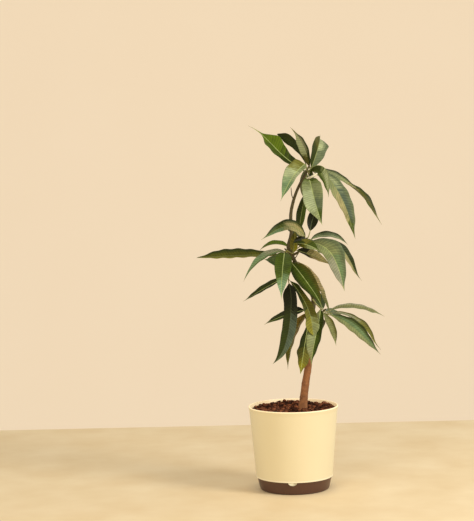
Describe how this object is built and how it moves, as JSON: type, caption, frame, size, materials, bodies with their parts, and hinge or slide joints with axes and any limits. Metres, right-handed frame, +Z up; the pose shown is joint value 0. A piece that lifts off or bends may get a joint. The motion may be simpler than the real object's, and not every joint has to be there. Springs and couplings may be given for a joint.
{
  "type": "potted mango tree sapling",
  "caption": "Young mango tree with long drooping leaves in loose whorls on a slender bent stem, in a tapered self-watering pot that stands in a water tray.",
  "frame": {"origin": "centre of the tray's flat underside, where the planter stands", "axes": "+Z up; the front of the tree and the pot's overflow tab face -Y; +X to the right seen from the front"},
  "size_m": [0.4247, 0.2981, 0.8134],
  "materials": {
    "tray_plastic": "dark brown, satin",
    "pot_plastic": "cream, satin",
    "potting_mix": "dark red-brown bark and coco chips, matt",
    "bark": "warm brown bark with node rings, matt",
    "green_bark": "olive brown young bark, matt",
    "leaves": "leathery green, soft sheen"
  },
  "bodies": {
    "root": {"tray": "tray_plastic", "pot": "pot_plastic", "soil": "potting_mix", "trunk": "bark", "leader_lower": "green_bark", "leader_upper": "green_bark", "middle_shoot": "green_bark", "crown_top": "leaves", "crown_middle": "leaves", "crown_left_front": "leaves", "crown_left_back": "leaves", "crown_lower": "leaves", "crown_fork_left": "leaves", "crown_fork_right": "leaves"}
  },
  "joints": []
}
